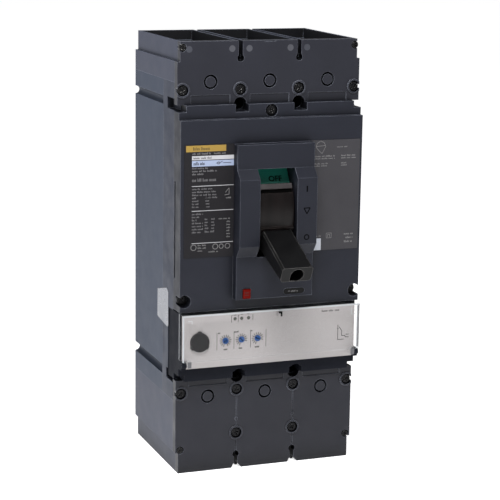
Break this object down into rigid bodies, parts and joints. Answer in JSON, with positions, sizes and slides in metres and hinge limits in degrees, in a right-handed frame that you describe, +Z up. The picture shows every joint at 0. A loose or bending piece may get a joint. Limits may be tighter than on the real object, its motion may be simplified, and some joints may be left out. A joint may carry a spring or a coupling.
{
  "type": "molded case circuit breaker",
  "caption": "Molded case circuit breaker with toggle handle, electronic trip unit under a hinged clear cover, and lug covers at both ends.",
  "frame": {"origin": "centre of the four panel mounting holes, on the rear face", "axes": "+Z up towards the line side, +Y into the panel, +X to the right seen from the front"},
  "size_m": [0.1402, 0.1601, 0.318],
  "materials": {
    "case_rear": "moulded, fine texture",
    "case_front": "moulded, fine texture",
    "handle_black": "moulded, slightly polished by use",
    "shutter_brown": "satin",
    "label_dark": "printed film",
    "label_grey": "printed film",
    "faceplate_beige": "fine texture",
    "red_plastic": "gloss",
    "clear_plastic": "clear polycarbonate",
    "dial_blue": "satin",
    "cap_dark": "fine texture",
    "led_lens": "lens",
    "green_label": "printed",
    "on_label": "printed",
    "rating_black": "printed",
    "sticker_white": "thin film",
    "screw_black": "blackened steel",
    "steel": "zinc plated",
    "spring_steel": "drawn wire",
    "silver": "silver alloy",
    "copper": "copper bar",
    "lug_aluminium": "tin plated",
    "rotor_plastic": "thermoset moulding",
    "fibre": "vulcanised fibre",
    "board_green": "glass epoxy board",
    "coil_black": "wound core in tape"
  },
  "bodies": {
    "housing": {"arc_chute_cheeks": "fibre", "arc_plates": "steel", "base_case": "case_rear", "circuit_board": "board_green", "contact_pads": "silver", "corner_screws": "screw_black", "cover_screws": "screw_black", "current_transformers": "coil_black", "front_cover": "case_front", "led_lenses": "led_lens", "left_label": "label_dark", "line_lug_1": "lug_aluminium", "line_lug_2": "lug_aluminium", "line_lug_3": "lug_aluminium", "line_lug_cover": "case_front", "line_terminal_1": "copper", "line_terminal_2": "copper", "line_terminal_3": "copper", "line_terminal_shroud": "case_rear", "load_lug_1": "lug_aluminium", "load_lug_2": "lug_aluminium", "load_lug_3": "lug_aluminium", "load_lug_cover": "case_front", "load_terminal_1": "copper", "load_terminal_2": "copper", "load_terminal_3": "copper", "load_terminal_shroud": "case_rear", "lug_mounting_screws": "steel", "lug_set_screws": "steel", "main_springs": "spring_steel", "mechanism_pins": "steel", "mechanism_plate_left": "steel", "mechanism_plate_right": "steel", "mid_cover": "case_rear", "off_plate": "green_label", "on_plate": "on_label", "rating_plate": "rating_black", "right_label": "label_grey", "seal_sticker": "sticker_white", "test_port_cover": "cap_dark", "trip_actuator": "coil_black", "trip_button_spring": "spring_steel", "trip_faceplate": "faceplate_beige", "trip_unit_housing": "case_front"},
    "handle": {"handle": "handle_black", "handle_shield": "shutter_brown", "handle_yoke": "steel"},
    "contact_rotor": {"contact_rotor_1": "rotor_plastic", "contact_rotor_2": "rotor_plastic", "contact_rotor_3": "rotor_plastic", "moving_contacts": "copper", "rotor_tie_rods": "steel"},
    "drive_links": {"drive_links": "steel"},
    "trip_button": {"trip_button": "red_plastic"},
    "trip_bar": {"trip_bar": "rotor_plastic"},
    "actuator_plunger": {"actuator_plunger": "steel"},
    "dial_1": {"dial_1": "dial_blue"},
    "dial_2": {"dial_2": "dial_blue"},
    "dial_3": {"dial_3": "dial_blue"},
    "trip_cover": {"clear_trip_cover": "clear_plastic"}
  },
  "joints": [
    {"name": "handle_turn", "type": "hinge", "parent": "housing", "child": "handle", "pos_m": [0, -0.078, 0.022], "axis": [-1, 0, 0], "range_deg": [-2, 49.4], "deforming": ["main_springs"]},
    {"name": "contact_rotor_turn", "type": "hinge", "parent": "housing", "child": "contact_rotor", "pos_m": [0, -0.036, 0.006], "axis": [-1, 0, 0], "range_deg": [-1.7, 38.2]},
    {"name": "drive_link_swing", "type": "hinge", "parent": "contact_rotor", "child": "drive_links", "pos_m": [0, -0.04356, 0.00009], "axis": [-1, 0, 0], "range_deg": [-78.4, 3.4]},
    {"name": "trip_button_press", "type": "slide", "parent": "housing", "child": "trip_button", "axis": [0, 1, 0], "range_m": [0, 0.0025], "stiffness_N_per_m": 300, "springref_m": -0.002, "deforming": ["trip_button_spring"]},
    {"name": "trip_bar_turn", "type": "hinge", "parent": "housing", "child": "trip_bar", "pos_m": [0, -0.088, -0.024], "axis": [1, 0, 0], "range_deg": [0, 12.2]},
    {"name": "actuator_plunger_strike", "type": "slide", "parent": "housing", "child": "actuator_plunger", "axis": [0, 0, 1], "range_m": [0, 0.002], "stiffness_N_per_m": 200, "springref_m": -0.002},
    {"name": "trip_cover_flip", "type": "hinge", "parent": "housing", "child": "trip_cover", "pos_m": [0, -0.1126, -0.0872], "axis": [1, 0, 0], "range_deg": [0, 100]},
    {"name": "dial_1_turn", "type": "hinge", "parent": "housing", "child": "dial_1", "pos_m": [-0.0347, -0.109, -0.0719], "axis": [0, -1, 0], "range_deg": [-135, 135]},
    {"name": "dial_2_turn", "type": "hinge", "parent": "housing", "child": "dial_2", "pos_m": [-0.0223, -0.109, -0.0718], "axis": [0, -1, 0], "range_deg": [-135, 135]},
    {"name": "dial_3_turn", "type": "hinge", "parent": "housing", "child": "dial_3", "pos_m": [-0.0097, -0.109, -0.0718], "axis": [0, -1, 0], "range_deg": [-135, 135]}
  ],
  "couplings": [
    {"joint": "contact_rotor_turn", "follows": "handle_turn", "ratio": 0.76923},
    {"joint": "drive_link_swing", "follows": "handle_turn", "ratio": -1.5789},
    {"joint": "trip_bar_turn", "follows": "trip_button_press", "rad_per_m": 83.08}
  ]
}
